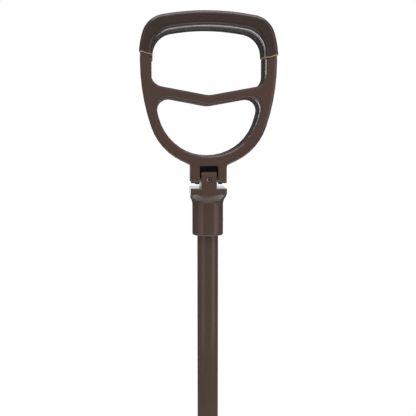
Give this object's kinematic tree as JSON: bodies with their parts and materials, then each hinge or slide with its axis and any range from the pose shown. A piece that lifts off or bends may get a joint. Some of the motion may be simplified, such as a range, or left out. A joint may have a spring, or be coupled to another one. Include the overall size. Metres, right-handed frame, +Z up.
{
  "type": "walking stick seat",
  "caption": "Walking stick whose handle is two hinged cast halves with leather grips that fold out into a seat, on a tube with a ground plate, spike and pull-off rubber ferrule.",
  "frame": {"origin": "on the floor, under the tube's axis, at the centre of the ferrule's flat bottom", "axes": "+Z up along the tube, -Y towards the seat half that faces the viewer, +X to the viewer's right"},
  "size_m": [0.1424, 0.078, 0.8807],
  "materials": {
    "enamel": "brown enamel, semi-gloss",
    "leather": "dark brown leather, raw tan cut edges",
    "steel": "plain bright steel",
    "nylon": "black nylon",
    "rubber": "matt black rubber"
  },
  "bodies": {
    "stick": {"hinge_hub": "enamel", "hinge_pin_front": "steel", "hinge_pin_rear": "steel", "grub_screw_front": "steel", "grub_screw_rear": "steel", "tube": "enamel", "hub_rivet": "enamel", "foot_socket": "enamel", "foot_rivet": "enamel", "ground_plate": "enamel", "plate_washer": "steel", "plate_nut": "steel", "spike": "steel"},
    "front_half": {"seat_frame_front": "enamel", "grip_leather_front": "leather", "hinge_bush_front_left": "nylon", "hinge_bush_front_right": "nylon"},
    "rear_half": {"seat_frame_rear": "enamel", "grip_leather_rear": "leather", "hinge_bush_rear_left": "nylon", "hinge_bush_rear_right": "nylon"},
    "ferrule": {"ferrule": "rubber", "ferrule_washer": "steel"}
  },
  "joints": [
    {"name": "front_fold", "type": "hinge", "parent": "stick", "child": "front_half", "pos_m": [0, -0.0145, 0.7087], "axis": [1, 0, 0], "range_deg": [0, 90]},
    {"name": "rear_fold", "type": "hinge", "parent": "stick", "child": "rear_half", "pos_m": [0, 0.0145, 0.7087], "axis": [-1, 0, 0], "range_deg": [0, 90]},
    {"name": "ferrule_pull", "type": "slide", "parent": "stick", "child": "ferrule", "axis": [0, 0, -1], "range_m": [0, 0.046]}
  ]
}
